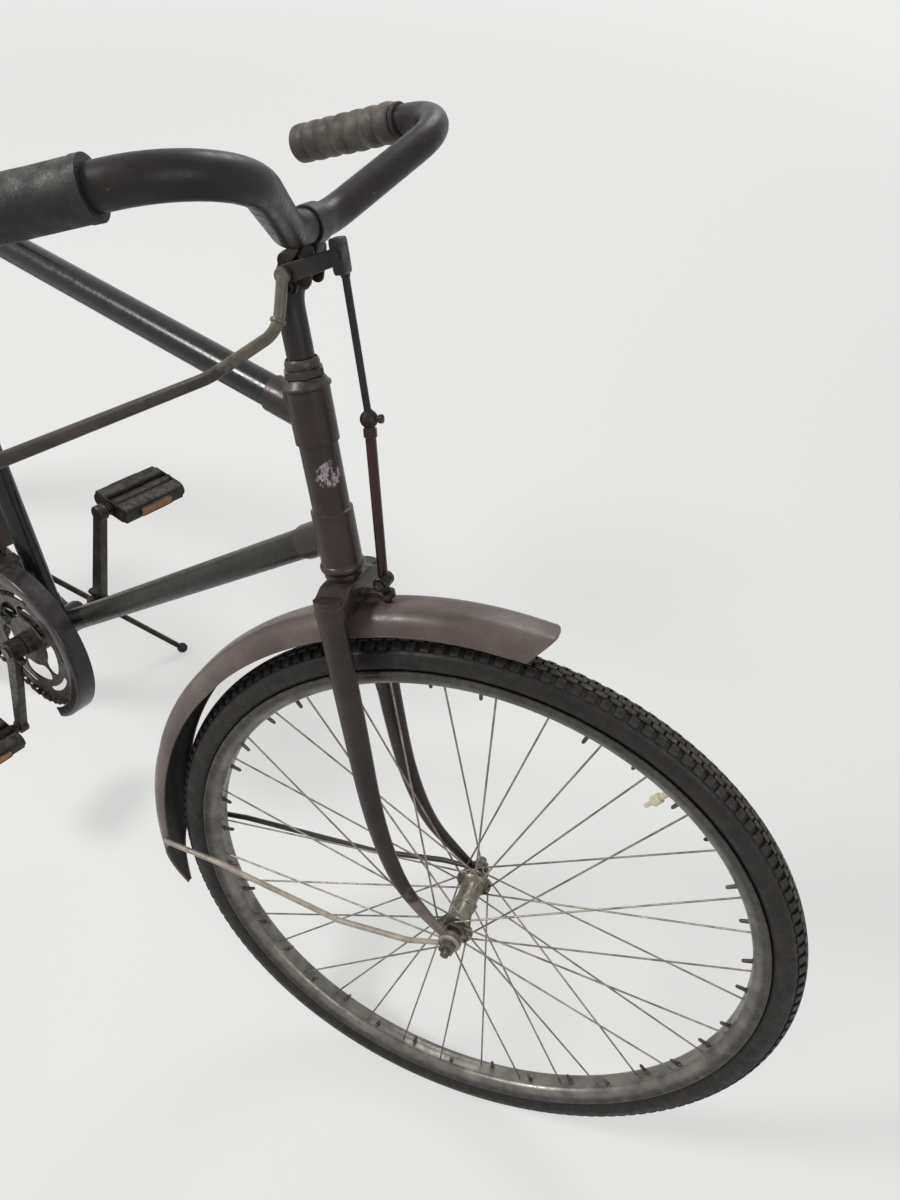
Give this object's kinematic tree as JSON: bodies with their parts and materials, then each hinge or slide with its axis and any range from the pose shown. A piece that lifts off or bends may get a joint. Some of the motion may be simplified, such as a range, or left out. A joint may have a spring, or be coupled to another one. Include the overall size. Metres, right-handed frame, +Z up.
{
  "type": "city bicycle",
  "caption": "Old roadster bicycle with lugged diamond frame, rod plunger brake, full mudguards, block pedals and side stand, parked leaning with the steering turned left.",
  "frame": {"origin": "on the ground under the middle of the parked bicycle", "axes": "+X forwards along the frame, +Y to the rider's left, +Z up"},
  "size_m": [1.8435, 0.5451, 1.0797],
  "materials": {
    "leather": "worn",
    "paint_black": "worn gloss",
    "paint_brown": "worn satin",
    "reflector": "ribbed",
    "rim_steel": "dull",
    "rubber": "matte",
    "steel": "dull",
    "tyre": "matte"
  },
  "bodies": {
    "frame": {"head_tube": "paint_brown", "top_tube": "paint_black", "down_tube": "paint_black", "seat_tube": "paint_black", "bracket_shell": "paint_black", "chain_stays": "paint_black", "seat_stays": "paint_black", "seat_post": "steel", "saddle": "leather", "saddle_frame": "steel", "axle_rear": "steel", "brake_arm": "steel", "arm_clip": "steel", "mudguard_rear": "paint_brown", "stays_rear": "steel", "sprocket": "steel", "chain": "steel", "chain_guard": "paint_black", "stand_bracket": "steel"},
    "steering": {"fork": "paint_brown", "headset": "paint_brown", "stem": "paint_brown", "handlebar": "paint_brown", "grip_left": "rubber", "grip_right": "rubber", "brake_lever": "steel", "brake_bracket": "paint_brown", "brake_rod": "steel", "brake_pad": "rubber", "axle_front": "steel", "mudguard_front": "paint_brown", "stays_front": "steel"},
    "front_wheel": {"tyre_front": "tyre", "rim_front": "rim_steel", "spokes_front": "steel", "hub_front": "steel"},
    "rear_wheel": {"tyre_rear": "tyre", "rim_rear": "rim_steel", "spokes_rear": "steel", "hub_rear": "steel"},
    "cranks": {"chainring": "paint_brown", "ring_carrier": "steel", "spindle": "steel", "crank_left": "steel", "crank_right": "steel"},
    "pedal_left": {"pedal_left_cage": "steel", "pedal_left_blocks": "rubber", "pedal_left_reflectors": "reflector"},
    "pedal_right": {"pedal_right_cage": "steel", "pedal_right_blocks": "rubber", "pedal_right_reflectors": "reflector"},
    "stand": {"stand_leg": "steel"}
  },
  "joints": [
    {"name": "steering_turn", "type": "hinge", "parent": "frame", "child": "steering", "pos_m": [0.37846, 0.00067, 0.6985], "axis": [-0.3559, 0.1623, 0.9203], "range_deg": [-65.5, 34.5]},
    {"name": "front_wheel_spin", "type": "hinge", "parent": "steering", "child": "front_wheel", "pos_m": [0.58433, -0.04554, 0.33642], "axis": [-0.2497, 0.9325, -0.261], "continuous": true},
    {"name": "rear_wheel_spin", "type": "hinge", "parent": "frame", "child": "rear_wheel", "pos_m": [-0.53879, -0.06198, 0.34321], "axis": [0, 0.9848, -0.1736], "continuous": true},
    {"name": "crank_turn", "type": "hinge", "parent": "frame", "child": "cranks", "pos_m": [-0.07944, -0.06622, 0.31917], "axis": [0, 0.9848, -0.1736], "continuous": true},
    {"name": "left_pedal_turn", "type": "hinge", "parent": "cranks", "child": "pedal_left", "pos_m": [-0.05827, 0.08125, 0.46445], "axis": [0, 0.9848, -0.1736], "continuous": true},
    {"name": "right_pedal_turn", "type": "hinge", "parent": "cranks", "child": "pedal_right", "pos_m": [-0.1006, -0.21369, 0.1739], "axis": [0, 0.9848, -0.1736], "continuous": true},
    {"name": "stand_fold", "type": "hinge", "parent": "frame", "child": "stand", "pos_m": [-0.31283, -0.02269, 0.28955], "axis": [0.0129, 0.8545, 0.5192], "range_deg": [0, 108.43]}
  ]
}
